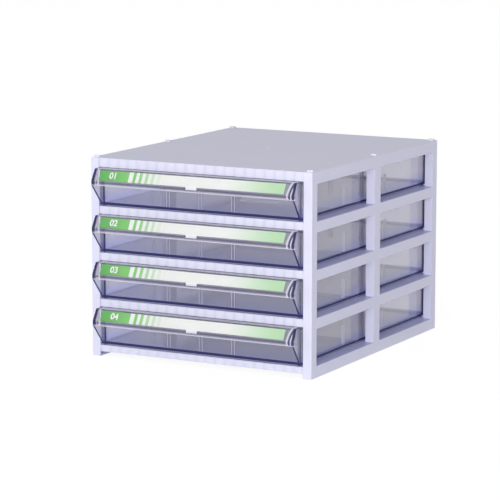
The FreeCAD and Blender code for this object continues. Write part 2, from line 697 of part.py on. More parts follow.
def make_label_card(number):
    """Paper card on the label slope, with a tab that folds down over the lip."""
    tag = f"label_card_{number}"
    body = new_body(tag, **drawer_place(number))
    strip = slope_strip("Sizes.label_top_margin", LABEL_END, CARD_TOP, CARD_BOTTOM)
    pad_profile(body, tag + "_strip", strip, "(Sizes.label_length / 2)", "Sizes.label_shift")

    tab_start = difference(LABEL_END, "Sizes.card_thickness")
    tab_end = difference(LIP_TOP, "Sizes.card_tab_drop")
    tab = [
        on_slope(tab_start, CARD_TOP),
        lip_corner(CARD_TOP),
        (at_reach(difference("Sizes.pull_reach", CARD_TOP)), tab_end),
        (at_reach(difference("Sizes.pull_reach", CARD_BOTTOM)), tab_end),
        lip_corner(CARD_BOTTOM),
        on_slope(tab_start, CARD_BOTTOM),
    ]
    pad_profile(body, tag + "_tab", tab, "(Sizes.card_tab_width / 2)")
    return body


def make_label_cover(number):
    """Clear strip that lies over a label card, flush with the slope."""
    tag = f"label_cover_{number}"
    body = new_body(tag, **drawer_place(number))
    strip = slope_strip("Sizes.label_top_margin", LABEL_END, "0", "Sizes.cover_thickness")
    pad_profile(body, tag + "_strip", strip, "(Sizes.label_length / 2)", "Sizes.label_shift")
    return body


def make_left_side_frame(right_frame):
    """Left side frame: the mirror image of the right one."""
    mirror = doc.addObject("Part::Mirroring", "left_side_frame")
    mirror.Label = "left_side_frame"
    mirror.Source = right_frame
    mirror.Normal = (1, 0, 0)
    doc.recompute()
    return mirror


def build_pieces():
    """Every piece of the box, in the order of its construction."""
    right_frame = make_side_frame()
    pieces = [right_frame, make_left_side_frame(right_frame), make_pegs()]
    tiers = int(value("Sizes.tier_count"))
    top_panel = make_tray("top_panel", CABINET_HEIGHT, "Sizes.top_rail_height", has_stop=False)
    add_gate_mark(top_panel)
    pieces.append(top_panel)
    for number in range(1, tiers):
        height = drawer_place(number)["height"]
        pieces.append(make_tray(f"shelf_{number}", height, "Sizes.shelf_rail_height", has_stop=True))
    pieces.append(make_tray("base_panel", FIRST_FLOOR, "Sizes.base_rail_height", has_stop=True))
    for number in range(1, tiers + 1):
        pieces.append(make_drawer(number))
        pieces.append(make_label_card(number))
        pieces.append(make_label_cover(number))
    return pieces


def check_document():
    """Stop when an object of the document failed."""
    for item in doc.Objects:
        if "Invalid" in item.State or "Error" in item.State:
            raise RuntimeError(item.Name + " failed: " + ", ".join(item.State))


def write_pieces(pieces):
    """Write each sound piece to its own file, named by its label."""
    for piece in pieces:
        if piece.Shape.isNull() or not piece.Shape.isValid():
            raise RuntimeError(piece.Label + " has no sound shape")
    os.makedirs("parts", exist_ok=True)
    for piece in pieces:
        piece.Shape.exportStep(f"parts/{piece.Label}.step")


all_pieces = build_pieces()
doc.recompute()
check_document()
write_pieces(all_pieces)
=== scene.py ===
"""Looks of a parts drawer box: moulded frames, clear drawers, printed label cards and a studio.

Every length is in metres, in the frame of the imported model: X to the right, Y to the back and Z up.
"""

import logging
import math
from dataclasses import dataclass, field
from enum import Enum
from typing import Any, Union

import bpy
from mathutils import Matrix, Vector


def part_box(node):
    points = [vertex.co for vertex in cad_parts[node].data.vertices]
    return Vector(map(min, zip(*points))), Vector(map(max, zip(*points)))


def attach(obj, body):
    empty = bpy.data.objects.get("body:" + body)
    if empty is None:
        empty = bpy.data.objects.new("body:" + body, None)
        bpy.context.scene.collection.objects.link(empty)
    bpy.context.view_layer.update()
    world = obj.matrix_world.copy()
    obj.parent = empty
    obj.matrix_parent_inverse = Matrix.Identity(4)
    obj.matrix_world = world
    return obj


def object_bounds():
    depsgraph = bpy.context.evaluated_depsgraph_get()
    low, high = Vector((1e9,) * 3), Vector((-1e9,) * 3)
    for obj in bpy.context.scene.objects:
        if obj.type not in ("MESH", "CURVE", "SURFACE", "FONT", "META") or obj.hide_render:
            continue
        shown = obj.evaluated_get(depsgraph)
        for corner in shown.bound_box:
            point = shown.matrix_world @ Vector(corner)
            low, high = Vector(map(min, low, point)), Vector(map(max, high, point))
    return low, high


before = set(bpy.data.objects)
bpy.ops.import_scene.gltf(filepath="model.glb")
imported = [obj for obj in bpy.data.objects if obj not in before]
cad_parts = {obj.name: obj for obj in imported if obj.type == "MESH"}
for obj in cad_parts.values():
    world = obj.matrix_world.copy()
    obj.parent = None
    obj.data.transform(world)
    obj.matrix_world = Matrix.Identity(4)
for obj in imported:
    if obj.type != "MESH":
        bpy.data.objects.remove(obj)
CAD_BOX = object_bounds()

Colour = tuple[float, float, float]
Span = tuple[float, float]
Socket = bpy.types.NodeSocket
Numeric = Union["Signal", float]
Paint = Union[Colour, Socket]
Owner = Union[bpy.types.Material, bpy.types.World]
Masks = tuple["Signal", "Signal"]

TIERS = 4
FIRST_FLOOR = 0.0125
TIER_PITCH = 0.0515
HALF_OPENING = 0.125
FLUTE_PITCH = 0.25 / 21
FASCIA_FACE = -0.1496
TUB_END = 0.1650
LIP_FACE = -0.1691
SEEING_RAYS = ("Is Camera Ray", "Is Glossy Ray", "Is Transmission Ray")

log = logging.getLogger("parts_box")


# Shader wrappers


class Signal:
    """One value socket of a node tree, with arithmetic that adds Math nodes."""

    def __init__(self, recipe: "Recipe", socket: Socket) -> None:
        """Keep the socket and the recipe that it belongs to.

        Args:
            recipe: The node tree being written.
            socket: An output socket that carries one value.
        """
        self.recipe = recipe
        self.socket = socket

    def _join(self, operation: str, first: Numeric, second: Numeric) -> "Signal":
        """Add a Math node on two values.

        Args:
            operation: Name of the Math node's operation.
            first: Left value.
            second: Right value.

        Returns:
            The node's result.
        """
        node = self.recipe.add("ShaderNodeMath", {"operation": operation}, {0: first, 1: second})
        return Signal(self.recipe, node.outputs[0])

    def __add__(self, other: Numeric) -> "Signal":
        """Sum of two values."""
        return self._join("ADD", self, other)

    __radd__ = __add__

    def __sub__(self, other: Numeric) -> "Signal":
        """Difference of two values."""
        return self._join("SUBTRACT", self, other)

    def __rsub__(self, other: Numeric) -> "Signal":
        """Difference of two values, this one taken away."""
        return self._join("SUBTRACT", other, self)

    def __mul__(self, other: Numeric) -> "Signal":
        """Product of two values."""
        return self._join("MULTIPLY", self, other)

    __rmul__ = __mul__

    def __gt__(self, other: Numeric) -> "Signal":
        """One where this value is the larger, otherwise zero."""
        return self._join("GREATER_THAN", self, other)

    def __lt__(self, other: Numeric) -> "Signal":
        """One where this value is the smaller, otherwise zero."""
        return self._join("LESS_THAN", self, other)

    def __abs__(self) -> "Signal":
        """Size of the value without its sign."""
        return self._join("ABSOLUTE", self, 0.0)

    def most(self, other: Numeric) -> "Signal":
        """Larger of two values."""
        return self._join("MAXIMUM", self, other)

    def within(self, low: float, high: float) -> "Signal":
        """One where the value lies between two limits, otherwise zero."""
        return (self > low) * (self < high)

    def root(self) -> "Signal":
        """Square root of the value."""
        return self._join("SQRT", self, 0.0)

    def wrapped(self, period: float) -> "Signal":
        """Rest of the value after whole periods."""
        return self._join("FLOORED_MODULO", self, period)

    def ramp(self, low: float, high: float) -> "Signal":
        """Smooth step from zero at one value to one at another.

        Args:
            low: Value that gives zero.
            high: Value that gives one.

        Returns:
            The stepped value.
        """
        settings = {"interpolation_type": "SMOOTHSTEP"}
        inputs = {"Value": self, "From Min": low, "From Max": high}
        node = self.recipe.add("ShaderNodeMapRange", settings, inputs)
        return Signal(self.recipe, node.outputs["Result"])


class Recipe:
    """Node tree of one material or world, written one node at a time."""

    def __init__(self, owner: Owner, output: str = "ShaderNodeOutputMaterial") -> None:
        """Empty the owner's node tree and give it its output.

        Args:
            owner: New material or world.
            output: Blender's name for the output node's type.
        """
        self.owner = owner
        self.owner.use_nodes = True
        self.tree = owner.node_tree
        self.tree.nodes.clear()
        self.output = self.add(output, {}, {})

    def add(self, kind: str, settings: dict[str, Any], inputs: dict[Any, Any]) -> bpy.types.Node:
        """Add one node.

        Args:
            kind: Blender's name for the node's type.
            settings: Attributes of the node, set before its sockets.
            inputs: Values, colours, signals or sockets by the input's name or index.

        Returns:
            The new node.
        """
        node = self.tree.nodes.new(kind)
        for name, setting in settings.items():
            setattr(node, name, setting)
        for key, value in inputs.items():
            socket = node.inputs[key]
            if isinstance(value, Signal):
                value = value.socket
            if isinstance(value, Socket):
                self.tree.links.new(value, socket)
            else:
                socket.default_value = (*value, 1.0) if socket.type == "RGBA" else value
        return node

    def place(self) -> Socket:
        """Position in the object's own frame, in metres."""
        return self.add("ShaderNodeTexCoord", {}, {}).outputs["Object"]

    def axes(self, vector: Socket) -> tuple[Signal, Signal, Signal]:
        """Three signals of a vector: X, Y and Z."""
        split = self.add("ShaderNodeSeparateXYZ", {}, {0: vector})
        return tuple(Signal(self, output) for output in split.outputs)

    def true_normal(self) -> Socket:
        """Direction that the mesh's own face looks in."""
        return self.add("ShaderNodeNewGeometry", {}, {}).outputs["True Normal"]

    def rays(self, *names: str) -> Signal:
        """One for light paths of the named kinds, otherwise zero."""
        path = self.add("ShaderNodeLightPath", {}, {})
        first, *others = (Signal(self, path.outputs[name]) for name in names)
        for other in others:
            first = first.most(other)
        return first

    def stretch(self, vector: Socket, scale: Colour) -> Socket:
        """Scale a position along its three axes."""
        return self.add("ShaderNodeMapping", {}, {"Vector": vector, "Scale": scale}).outputs[0]

    def noise(self, vector: Socket, scale: float, detail: float = 3.0) -> Signal:
        """Cloudy pattern from zero to one.

        Args:
            vector: Position that the pattern lies in.
            scale: Clouds per metre.
            detail: Octaves of finer clouds.

        Returns:
            The pattern's value.
        """
        inputs = {"Vector": vector, "Scale": scale, "Detail": detail}
        return Signal(self, self.add("ShaderNodeTexNoise", {}, inputs).outputs[0])

    def blend(self, factor: Numeric, first: Paint, second: Paint) -> Socket:
        """Mix two colours.

        Args:
            factor: Share of the second colour.
            first: Colour or socket at zero.
            second: Colour or socket at one.

        Returns:
            The mixed colour's socket.
        """
        inputs = {0: factor, 6: first, 7: second}
        return self.add("ShaderNodeMix", {"data_type": "RGBA"}, inputs).outputs[2]

    def bump(self, height: Signal, distance: float, strength: float, base: Any = None) -> Socket:
        """Surface normal disturbed by a height.

        Args:
            height: Height from zero to one.
            distance: Depth of the relief in metres.
            strength: Share of the relief that shows.
            base: Normal to disturb, if not the surface's own.

        Returns:
            The normal's socket.
        """
        inputs = {"Height": height, "Distance": distance, "Strength": strength}
        if base is not None:
            inputs["Normal"] = base
        return self.add("ShaderNodeBump", {}, inputs).outputs[0]

    def soft_edges(self, radius: float) -> Socket:
        """Normal that rounds the edges of a moulding by a small radius."""
        return self.add("ShaderNodeBevel", {"samples": 4}, {"Radius": radius}).outputs[0]

    def edges(self, radius: float) -> Signal:
        """Mask of a moulding's sharp edges.

        Args:
            radius: Half width of the mask in metres.

        Returns:
            One on an edge, falling to zero on the flat faces.
        """
        inputs = {0: self.soft_edges(radius), 1: self.true_normal()}
        turned = self.add("ShaderNodeVectorMath", {"operation": "DOT_PRODUCT"}, inputs)
        return (1.0 - abs(Signal(self, turned.outputs["Value"]))).ramp(0.01, 0.16)

    def principled(self, inputs: dict[str, Any]) -> Socket:
        """Principled surface with the given inputs."""
        return self.add("ShaderNodeBsdfPrincipled", {}, inputs).outputs[0]

    def clear(self, colour: Colour) -> Socket:
        """Surface that lets light pass straight through, tinted."""
        return self.add("ShaderNodeBsdfTransparent", {}, {"Color": colour}).outputs[0]

    def layer(self, factor: Signal, first: Any, second: Any) -> Socket:
        """Surface mixed of two by the second one's share."""
        return self.add("ShaderNodeMixShader", {}, {0: factor, 1: first, 2: second}).outputs[0]

    def finish(self, surface: Socket, volume: Any = None) -> Owner:
        """Close the recipe with its surface and its inside, and return its owner."""
        self.tree.links.new(surface, self.output.inputs["Surface"])
        if volume is not None:
            self.tree.links.new(volume, self.output.inputs["Volume"])
        return self.owner


def material_recipe(name: str) -> Recipe:
    """Start an empty material."""
    return Recipe(bpy.data.materials.new(name))


def above_tier_floor(height: Signal) -> Signal:
    """Height above the floor of the tier that a point lies in."""
    return (height - FIRST_FLOOR).wrapped(TIER_PITCH)


# Finishes


@dataclass(frozen=True)
class MouldedPlastic:
    """Opaque satin plastic with a fine grain, faint clouding and a few soft scuffs.

    The flutes on the front rails have painted shade in their grooves, the top panel has a pale gate mark,
    and the window sills and the inner faces of the side frames have a painted bluish shade.
    """

    name: str
    colour: Colour
    roughness: float = 0.42
    clouding: float = 0.03
    cloud_scale: float = 14.0
    scuff_scale: float = 420.0
    grain_scale: float = 2600.0
    streaks: Colour = (1.0, 0.12, 0.6)
    cloud_spread: float = 0.10
    scuff_spread: float = 0.06
    grain: float = 0.00002
    grain_share: float = 0.35
    edge_round: float = 0.0004
    index: float = 1.49
    groove_span: Span = (0.12, 0.50)
    groove_shade: float = 0.22
    groove_shade_tone: float = 0.7
    fluted_before: float = -0.1490
    mark_place: Span = (0.0, 0.0091)
    mark_radius: float = 0.0015
    mark_share: float = 0.8
    top_skin: float = 0.0030
    # Colour of the painted bluish shade on the window sills and the inner faces of the side frames.
    sill_shade: Colour = (0.50, 0.51, 0.93)
    sill_shade_share: float = 0.6
    sill_reach: float = 0.0030
    sill_drop: float = 0.0200
    inner_span: Span = (-0.0040, 0.0030)
    inner_share: float = 0.9
    flat: float = 0.8

    def make(self) -> bpy.types.Material:
        """Write the material."""
        recipe = material_recipe(self.name)
        place = recipe.place()
        clouds = recipe.noise(place, self.cloud_scale)
        streaked = recipe.stretch(place, self.streaks)
        scuffs = recipe.noise(streaked, self.scuff_scale, 2.0).ramp(0.62, 0.78)
        fine = recipe.noise(place, self.grain_scale, 2.0)
        across, depth, height = recipe.axes(place)
        aside = abs(across)
        top = CAD_BOX[1][2]
        darker = tuple(c * (1.0 - self.clouding) for c in self.colour)
        colour = recipe.blend(clouds.ramp(0.3, 0.7), darker, self.colour)
        # Painted shade in the grooves of the flutes on the front rails.
        beside = abs((across + HALF_OPENING).wrapped(FLUTE_PITCH) - FLUTE_PITCH / 2)
        groove = beside.ramp(*(FLUTE_PITCH * share for share in self.groove_span))
        fluted = groove * (aside < HALF_OPENING) * (depth < self.fluted_before)
        shaded = tuple(c * self.groove_shade_tone for c in self.colour)
        colour = recipe.blend(fluted * self.groove_shade, colour, shaded)
        away_x, away_y = abs(across - self.mark_place[0]), abs(depth - self.mark_place[1])
        mark = (away_x < self.mark_radius) * (away_y < self.mark_radius) * (height > top - self.top_skin)
        colour = recipe.blend(mark * self.mark_share, colour, (1.0, 1.0, 1.0))
        # Painted bluish shade on the upward faces of the window sills and on the inner faces of the side
        # frames.
        facing = recipe.axes(recipe.true_normal())
        in_frame = (aside > HALF_OPENING - self.sill_reach) * (height < top - self.sill_drop)
        sill_shade = (facing[2] > self.flat) * in_frame
        inner = (abs(facing[0]) > self.flat) * (aside - HALF_OPENING).within(*self.inner_span)
        colour = recipe.blend(sill_shade.most(inner * self.inner_share) * self.sill_shade_share, colour, self.sill_shade)
        inputs = {
            "Base Color": colour,
            "Roughness": self.roughness + (clouds - 0.5) * self.cloud_spread + scuffs * self.scuff_spread,
            "Normal": recipe.bump(fine, self.grain, self.grain_share, recipe.soft_edges(self.edge_round)),
            "IOR": self.index,
        }
        return recipe.finish(recipe.principled(inputs))


@dataclass(frozen=True)
class TubLines:
    """Places that carry painted dark shade and highlights: plates seen end-on, the lip, the pull and
    ribs.

    Spans named front are measured back from the front wall's face, spans named rear forward from the
    tub's end, spans named aside from the middle, and spans named level from the tier's floor.
    """

    front_skin: Span = (-0.0004, 0.0010)
    front_wall: Span = (-0.0004, 0.0030)
    floor_level: Span = (0.0020, 0.0038)
    floor_level_in_front: Span = (0.0016, 0.0044)
    wall_aside: Span = (0.1188, 0.1205)
    wall_inside: float = 0.1185
    lip_level: float = 0.0300
    rim_level: float = 0.0410
    corner_rear: float = 0.0034
    lip_depth: float = 0.0024
    lip_band_level: Span = (0.0272, 0.0296)
    lip_edge_level: Span = (0.0248, 0.0258)
    cheek_aside: float = 0.1203
    cheek_front: float = -0.0010
    curl_centre: Span = (0.1400, 0.0300)
    curl_front: float = -0.0015
    curl_aside: float = 0.1200
    curl: Span = (0.0220, 0.0233)
    near_glint: Span = (0.0245, 0.0261)
    far_glint: Span = (0.0203, 0.0214)
    rib_level: Span = (0.0042, 0.0262)
    rib_aside: Span = (0.1174, 0.1188)
    rib_margin: float = 0.0040
    rib_front: Span = (0.0022, 0.0036)
    rib_rear: Span = (0.0022, 0.0036)
    rib_inside: float = 0.1170
    foot_level: Span = (0.0040, 0.0200)
    facing_share: float = 0.5


@dataclass(frozen=True)
class ClearPlastic:
    """Clear moulded plastic: tinted inside, with painted dark shade on end-on plates and painted
    highlights.
    """

    name: str
    roughness: float
    surface: Colour
    front: Colour
    # Colour of the painted bluish shade towards the feet of the walls.
    painted_foot_shade: Colour
    # Colour of the painted dark shade.
    deep: Colour
    # Colour of the painted highlights.
    painted_highlight_colour: Colour
    haze: float
    tint: Colour
    density: float
    lamp_share: Colour
    lines: TubLines = TubLines()
    index: float = 1.55
    haze_scale: float = 55.0
    haze_spread: float = 0.03
    flow_scale: float = 70.0
    flow_stretch: Colour = (0.35, 1.0, 1.0)
    flow_depth: float = 0.0004
    flow_share: float = 0.10
    edge_roughness: float = 0.3
    edge_index: float = 1.35
    edge_width: float = 0.0008
    edge_share: float = 0.92
    soft_share: float = 0.8
    lip_band_share: float = 0.45
    lip_edge_share: float = 0.5
    curl_share: float = 0.8
    glint_share: float = 0.6
    flank_share: float = 0.85
    side_rib_share: float = 0.9
    end_rib_share: float = 0.85
    foot_share: float = 0.75
    front_foot_share: float = 0.6

    def seen_edges(self, recipe: Recipe, across: Signal, depth: Signal, level: Signal) -> Masks:
        """Masks of painted dark shade on end-on plates, edges, lip and pull, and of painted highlights.

        Args:
            recipe: The material being written.
            across: Position to the right of the middle.
            depth: Position towards the back.
            level: Height above the tier's floor.

        Returns:
            The mask of painted dark shade and the mask of painted highlights.
        """
        lines = self.lines
        aside, front, rear = abs(across), depth - FASCIA_FACE, TUB_END - depth
        facing = recipe.axes(recipe.true_normal())
        side_on = abs(facing[0]) > lines.facing_share

        # Painted dark shade where the floor plate, the side walls, the rear corners and the cheeks are
        # seen end-on.
        on_fascia = front.within(*lines.front_skin)
        floor_in_front = level.within(*lines.floor_level_in_front) * on_fascia
        floor_plate = level.within(*lines.floor_level).most(floor_in_front)
        side_wall = aside.within(*lines.wall_aside) * on_fascia * (level < lines.lip_level)
        corner = (rear < lines.corner_rear) * (aside > lines.wall_inside) * (level < lines.rim_level)
        cheek_edge = (1.0 - side_on) * (aside > lines.cheek_aside) * (front < lines.cheek_front)
        crisp = floor_plate.most(side_wall).most(corner).most(cheek_edge) * self.edge_share

        # Painted dark shade on sharp edges and in a band on the lip, and a painted highlight along its
        # lower edge.
        on_lip = depth < LIP_FACE + lines.lip_depth
        lip_band = level.within(*lines.lip_band_level) * on_lip * self.lip_band_share
        soft = (recipe.edges(self.edge_width) * self.edge_share * self.soft_share).most(lip_band)
        lip_edge = level.within(*lines.lip_edge_level) * on_lip * self.lip_edge_share

        # Painted dark curl and painted highlights on the pull's ends, the curl and the far highlight on
        # the right end only.
        out, up = aside - lines.curl_centre[0], level - lines.curl_centre[1]
        ring = (out * out + up * up).root()
        on_pull = (front < lines.curl_front) * (aside < lines.curl_aside)
        on_right = across > 0.0
        curl = ring.within(*lines.curl) * on_pull * on_right * self.curl_share
        far_glint = ring.within(*lines.far_glint) * on_right
        glints = ring.within(*lines.near_glint).most(far_glint) * on_pull * self.glint_share

        # Painted highlights on the ribs, and painted shade on one flank of each rib.
        tall = level.within(*lines.rib_level)
        beside = (front > lines.rib_margin) * (rear > lines.rib_margin)
        on_side = aside.within(*lines.rib_aside) * beside * tall
        at_ends = front.within(*lines.rib_front).most(rear.within(*lines.rib_rear))
        on_ends = at_ends * (aside < lines.rib_inside) * tall
        far_side = on_side * (facing[1] > lines.facing_share)
        far_end = on_ends * (facing[0] > lines.facing_share)
        flanks = far_side.most(far_end) * self.flank_share
        side_ribs = (on_side - far_side) * self.side_rib_share
        ribs = side_ribs.most((on_ends - far_end) * self.end_rib_share)
        return crisp.most(curl).most(soft).most(flanks), lip_edge.most(glints).most(ribs)

    def wall_colour(self, recipe: Recipe, across: Signal, depth: Signal, level: Signal) -> Socket:
        """Colour of the clear walls: deeper on the front wall, with a painted bluish shade towards their
        feet.

        Args:
            recipe: The material being written.
            across: Position to the right of the middle.
            depth: Position towards the back.
            level: Height above the tier's floor.

        Returns:
            The colour's socket.
        """
        at_front = (depth - FASCIA_FACE).within(*self.lines.front_wall)
        at_side = abs(across) > self.lines.wall_inside
        # Painted bluish shade towards the feet of the side walls, and less of it on the front wall.
        low = 1.0 - level.ramp(*self.lines.foot_level)
        at_foot = low * (at_front * self.front_foot_share).most(at_side) * self.foot_share
        return recipe.blend(at_foot, recipe.blend(at_front, self.surface, self.front), self.painted_foot_shade)

    def make(self) -> bpy.types.Material:
        """Write the material."""
        recipe = material_recipe(self.name)
        place = recipe.place()
        across, depth, height = recipe.axes(place)
        level = above_tier_floor(height)
        haze = recipe.noise(place, self.haze_scale, 2.0)
        flow = recipe.noise(recipe.stretch(place, self.flow_stretch), self.flow_scale, 1.0)
        body = {
            "Base Color": self.wall_colour(recipe, across, depth, level),
            "Roughness": self.roughness + haze.ramp(0.45, 0.8) * self.haze_spread,
            "Normal": recipe.bump(flow, self.flow_depth, self.flow_share),
            "IOR": self.index,
            "Transmission Weight": 1.0 - self.haze,
        }
        edge = {"Roughness": self.edge_roughness, "IOR": self.edge_index}
        # Painted dark shade and painted highlights laid over the clear body.
        painted_shade_mask, lit = self.seen_edges(recipe, across, depth, level)
        dark = recipe.principled({"Base Color": self.deep, **edge})
        pale = recipe.principled({"Base Color": self.painted_highlight_colour, **edge})
        drawn = recipe.layer(lit, recipe.layer(painted_shade_mask, recipe.principled(body), dark), pale)
        passing = recipe.rays("Is Shadow Ray", "Is Diffuse Ray")
        mixed = recipe.layer(passing, drawn, recipe.clear(self.lamp_share))
        absorption = {"Color": self.tint, "Density": self.density}
        inside = recipe.add("ShaderNodeVolumeAbsorption", {}, absorption)
        return recipe.finish(mixed, inside.outputs[0])


@dataclass(frozen=True)
class ClearFilm:
    """Thin clear strip over a label: see-through, with a polished top."""

    name: str
    tint: Colour
    sheen: Colour = (0.9, 0.9, 0.9)
    gloss: float = 0.04
    edge_gloss: float = 0.30
    edge_blend: float = 0.35
    roughness: float = 0.06
    ripple_scale: float = 160.0
    ripple_stretch: Colour = (0.3, 1.0, 1.0)
    ripple_depth: float = 0.0003
    ripple_share: float = 0.12

    def make(self) -> bpy.types.Material:
        """Write the material."""
        recipe = material_recipe(self.name)
        ripple = recipe.noise(recipe.stretch(recipe.place(), self.ripple_stretch), self.ripple_scale, 1.0)
        shine = {
            "Base Color": self.sheen,
            "Roughness": self.roughness,
            "Metallic": 1.0,
            "Normal": recipe.bump(ripple, self.ripple_depth, self.ripple_share),
        }
        grazing = recipe.add("ShaderNodeLayerWeight", {}, {"Blend": self.edge_blend}).outputs["Fresnel"]
        share = self.gloss + Signal(recipe, grazing) * self.edge_gloss
        return recipe.finish(recipe.layer(share, recipe.clear(self.tint), recipe.principled(shine)))


@dataclass(frozen=True)
class PrintedCard:
    """Card printed with plain green fields: a solid block, upright bars and a pale end panel.

    Lengths along the card are measured from its left end.
    """

    name: str
    left_end: float = -0.1145
    bar_pitch: float = 0.0075
    bar_gap: float = 0.0040
    bars: Span = (0.0400, 0.0850)
    block: Span = (0.0360, 0.0362)
    end: Span = (0.150, 0.224)
    end_share: float = 0.75
    tab_level: float = 0.0300
    roughness: float = 0.38
    roughness_spread: float = 0.12
    index: float = 1.45
    fibre_scale: float = 900.0
    fibre_stretch: Colour = (1.0, 3.0, 3.0)
    fibre_share: float = 0.05
    fibre_height: float = 0.00001
    fibre_relief: float = 0.2
    paper: Colour = (0.97, 0.96, 1.0)
    fibre: Colour = (0.80, 0.82, 0.80)
    strong: Colour = (0.08, 0.47, 0.06)
    light: Colour = (0.21, 0.64, 0.15)
    pale: Colour = (0.40, 0.74, 0.36)
    tab: Colour = (0.72, 0.72, 0.84)

    def make(self) -> bpy.types.Material:
        """Write the material."""
        recipe = material_recipe(self.name)
        place = recipe.place()
        across, _, height = recipe.axes(place)
        along = across - self.left_end
        bars = (along.wrapped(self.bar_pitch) > self.bar_gap) * along.within(*self.bars)
        fade = 1.0 - along.ramp(*self.bars)
        fibres = recipe.noise(recipe.stretch(place, self.fibre_stretch), self.fibre_scale, 4.0)
        sheet = recipe.blend(fibres * self.fibre_share, self.paper, self.fibre)
        barred = recipe.blend(bars * fade, sheet, self.light)
        ended = recipe.blend(along.ramp(*self.end) * self.end_share, barred, self.pale)
        deep = recipe.blend(along.ramp(0.0, self.block[0]), self.strong, self.light)
        printed = recipe.blend(1.0 - along.ramp(*self.block), ended, deep)
        printed = recipe.blend(above_tier_floor(height) < self.tab_level, printed, self.tab)
        inputs = {
            "Base Color": printed,
            "Roughness": self.roughness + fibres * self.roughness_spread,
            "Normal": recipe.bump(fibres, self.fibre_height, self.fibre_relief),
            "IOR": self.index,
        }
        return recipe.finish(recipe.principled(inputs))


@dataclass(frozen=True)
class PrintedInk:
    """Flat ink of a plain number, slightly uneven."""

    name: str
    colour: Colour
    wear_scale: float = 1800.0
    worn_share: float = 0.9
    roughness: float = 0.3
    roughness_spread: float = 0.2

    def make(self) -> bpy.types.Material:
        """Write the material."""
        recipe = material_recipe(self.name)
        wear = recipe.noise(recipe.place(), self.wear_scale)
        worn = tuple(self.worn_share * c for c in self.colour)
        inputs = {
            "Base Color": recipe.blend(wear.ramp(0.35, 0.7), worn, self.colour),
            "Roughness": self.roughness + wear * self.roughness_spread,
        }
        return recipe.finish(recipe.principled(inputs))


@dataclass(frozen=True)
class StudioSurface:
    """Floor that the camera, gloss and clear plastic see as white, with a faint shadow."""

    name: str
    colour: Colour
    whiteness: float = 0.80
    glow: float = 1.14

    def make(self) -> bpy.types.Material:
        """Write the material."""
        recipe = material_recipe(self.name)
        lit = recipe.add("ShaderNodeBsdfDiffuse", {}, {"Color": self.colour}).outputs[0]
        white = {"Color": (1.0, 1.0, 1.0), "Strength": self.glow}
        glow = recipe.add("ShaderNodeEmission", {}, white).outputs[0]
        return recipe.finish(recipe.layer(recipe.rays(*SEEING_RAYS) * self.whiteness, lit, glow))


class Finish(Enum):
    """Finishes of the box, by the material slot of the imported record."""

    FRAME = "moulded_frame"
    PEG = "peg_plastic"
    CLEAR = "clear_drawer"
    CARD = "label_card"
    COVER = "label_cover"


FINISHES = {
    Finish.FRAME: MouldedPlastic("frame_plastic", (0.765, 0.77, 0.97)),
    Finish.PEG: MouldedPlastic("peg_plastic", (0.86, 0.86, 0.91), roughness=0.5),
    Finish.CLEAR: ClearPlastic(
        "clear_plastic",
        roughness=0.012,
        surface=(0.80, 0.79, 0.85),
        front=(0.72, 0.72, 0.85),
        # Colour of the painted bluish shade towards the feet of the walls.
        painted_foot_shade=(0.50, 0.53, 0.92),
        # Colour of the painted dark shade.
        deep=(0.012, 0.013, 0.11),
        # Colour of the painted highlights.
        painted_highlight_colour=(0.80, 0.80, 0.93),
        haze=0.13,
        tint=(0.10, 0.11, 0.36),
        density=45.0,
        lamp_share=(1.0, 1.0, 1.0),
    ),
    Finish.CARD: PrintedCard("card_print"),
    Finish.COVER: ClearFilm("cover_film", (0.99, 1.0, 0.99)),
}


# Pieces


def deselect_all() -> None:
    """Leave object mode with nothing selected."""
    if bpy.context.object is not None and bpy.context.object.mode != "OBJECT":
        bpy.ops.object.mode_set(mode="OBJECT")
    bpy.ops.object.select_all(action="DESELECT")


def settle(piece: bpy.types.Object) -> None:
    """Put a piece's place into its mesh, so that its object sits at the origin."""
    deselect_all()
    piece.select_set(True)
    bpy.context.view_layer.objects.active = piece
    bpy.ops.object.transform_apply(location=True, rotation=True, scale=True)


def dress(node: str, material: bpy.types.Material) -> None:
    """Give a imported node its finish."""
    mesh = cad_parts[node].data
    mesh.materials.clear()
    mesh.materials.append(material)


@dataclass
class Cabinet:
    """Side frames, panels and pegs that stay in place."""

    body: str = "cabinet"
    panels: tuple[str, ...] = ("top_panel", "shelf_1", "shelf_2", "shelf_3", "base_panel")
    frames: tuple[str, ...] = ("left_side_frame", "right_side_frame")

    def build(self, palette: dict[Finish, bpy.types.Material]) -> list[str]:
        """Dress the cabinet's nodes.

        Args:
            palette: Materials by finish.

        Returns:
            Names of the pieces that were dressed.
        """
        for node in self.panels + self.frames:
            dress(node, palette[Finish.FRAME])
        dress("stacking_pegs", palette[Finish.PEG])
        return [*self.panels, *self.frames, "stacking_pegs"]


